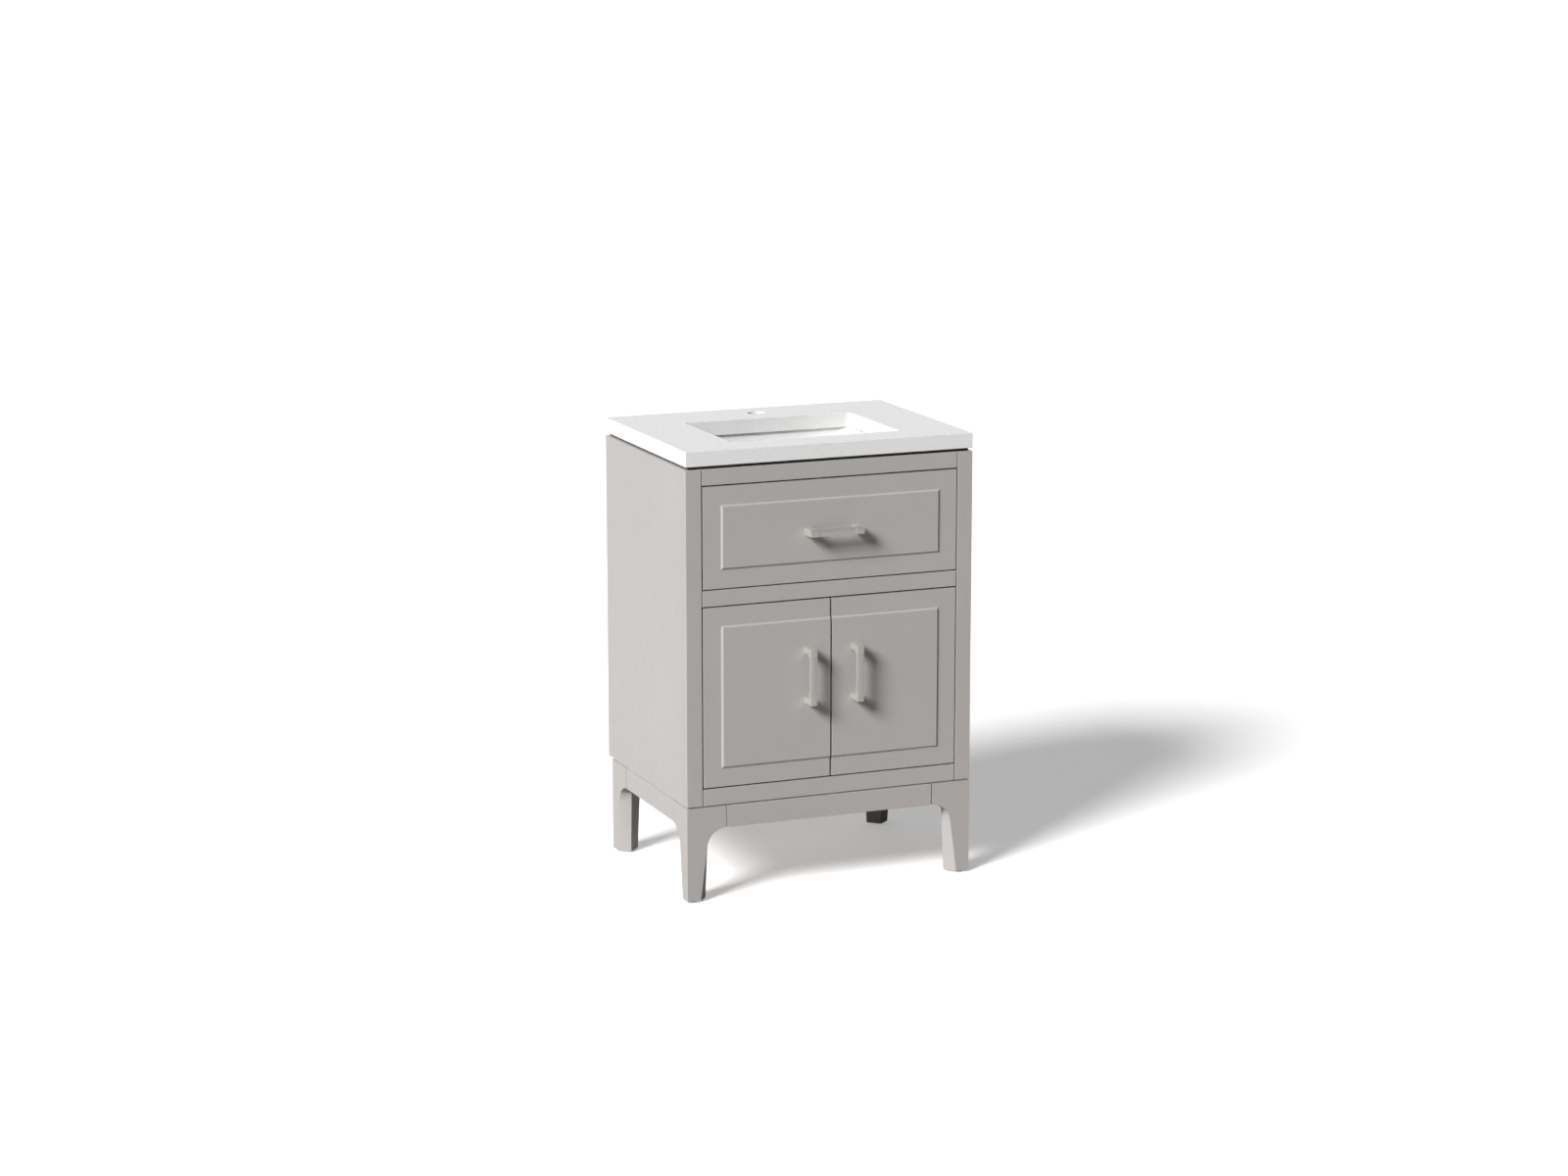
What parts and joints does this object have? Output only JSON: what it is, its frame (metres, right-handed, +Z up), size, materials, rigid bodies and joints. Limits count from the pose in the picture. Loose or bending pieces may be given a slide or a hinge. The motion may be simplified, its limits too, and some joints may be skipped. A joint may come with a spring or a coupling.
{
  "type": "bathroom vanity cabinet",
  "caption": "Freestanding bathroom vanity: painted cabinet with an inset drawer over inset doors on bracket feet, and a stone top with an undermount basin.",
  "frame": {"origin": "on the floor, under the centre of the outline in plan, which includes the pulls", "axes": "+Z up; the doors and drawer face -Y and the wall side faces +Y; +X is to the right seen from the front"},
  "size_m": [0.61, 0.4922, 0.9031],
  "materials": {
    "stone": "honed white engineered quartz",
    "basin_glaze": "glossy white glaze",
    "paint": "warm grey satin lacquer on wood",
    "plywood": "clear-coated birch plywood",
    "pull_nickel": "satin nickel",
    "zinc_steel": "zinc-plated steel",
    "hinge_nickel": "nickel-plated steel",
    "glide_plastic": "matt",
    "bumper_felt": "matt"
  },
  "bodies": {
    "root": {"countertop": "stone", "sink_basin": "basin_glaze", "sink_clips": "zinc_steel", "top_strips": "plywood", "corner_blocks": "plywood", "side_panel_left": "paint", "side_panel_right": "paint", "bottom_panel": "plywood", "back_panel": "plywood", "back_rail_top": "plywood", "back_rail_bottom": "plywood", "stile_left": "paint", "stile_right": "paint", "rail_top": "paint", "rail_middle": "paint", "rail_bottom": "paint", "door_stop": "plywood", "door_bumpers": "bumper_felt", "shelf": "plywood", "shelf_pins": "zinc_steel", "leg_front_left": "paint", "leg_front_right": "paint", "leg_rear_left": "paint", "leg_rear_right": "paint", "apron_front": "paint", "apron_rear": "paint", "apron_left": "paint", "apron_right": "paint", "base_braces": "plywood", "foot_glides": "glide_plastic", "slide_spacers": "plywood", "slide_outer_left": "zinc_steel", "slide_outer_right": "zinc_steel", "hinge_arms_left": "hinge_nickel", "hinge_arms_right": "hinge_nickel"},
    "drawer": {"slide_inner_left": "zinc_steel", "slide_inner_right": "zinc_steel", "drawer_front": "paint", "drawer_side_left": "plywood", "drawer_side_right": "plywood", "drawer_subfront": "plywood", "drawer_back": "plywood", "drawer_notch_walls": "plywood", "drawer_bottom": "plywood", "drawer_pull": "pull_nickel", "drawer_pull_screws": "zinc_steel"},
    "slide_middles": {"slide_middle_left": "zinc_steel", "slide_middle_right": "zinc_steel"},
    "left_door": {"door_left": "paint", "door_pull_left": "pull_nickel", "door_pull_screws_left": "zinc_steel", "hinge_cups_left": "hinge_nickel"},
    "right_door": {"door_right": "paint", "door_pull_right": "pull_nickel", "door_pull_screws_right": "zinc_steel", "hinge_cups_right": "hinge_nickel"},
    "left_links": {"hinge_links_left": "hinge_nickel"},
    "right_links": {"hinge_links_right": "hinge_nickel"}
  },
  "joints": [
    {"name": "drawer_slide", "type": "slide", "parent": "root", "child": "drawer", "axis": [0, -1, 0], "range_m": [0, 0.33]},
    {"name": "slide_extend", "type": "slide", "parent": "root", "child": "slide_middles", "axis": [0, -1, 0], "range_m": [0, 0.165]},
    {"name": "door_left_hinge", "type": "hinge", "parent": "root", "child": "left_door", "pos_m": [-0.2714, -0.2109, 0.4119], "axis": [0, 0, -1], "range_deg": [0, 105]},
    {"name": "door_right_hinge", "type": "hinge", "parent": "root", "child": "right_door", "pos_m": [0.2714, -0.2109, 0.4119], "axis": [0, 0, 1], "range_deg": [0, 105]},
    {"name": "link_left_turn", "type": "hinge", "parent": "root", "child": "left_links", "pos_m": [-0.2714, -0.2109, 0.4119], "axis": [0, 0, -1], "range_deg": [0, 52.5]},
    {"name": "link_right_turn", "type": "hinge", "parent": "root", "child": "right_links", "pos_m": [0.2714, -0.2109, 0.4119], "axis": [0, 0, 1], "range_deg": [0, 52.5]}
  ],
  "couplings": [
    {"joint": "slide_extend", "follows": "drawer_slide", "ratio": 0.5},
    {"joint": "link_left_turn", "follows": "door_left_hinge", "ratio": 0.5},
    {"joint": "link_right_turn", "follows": "door_right_hinge", "ratio": 0.5}
  ]
}
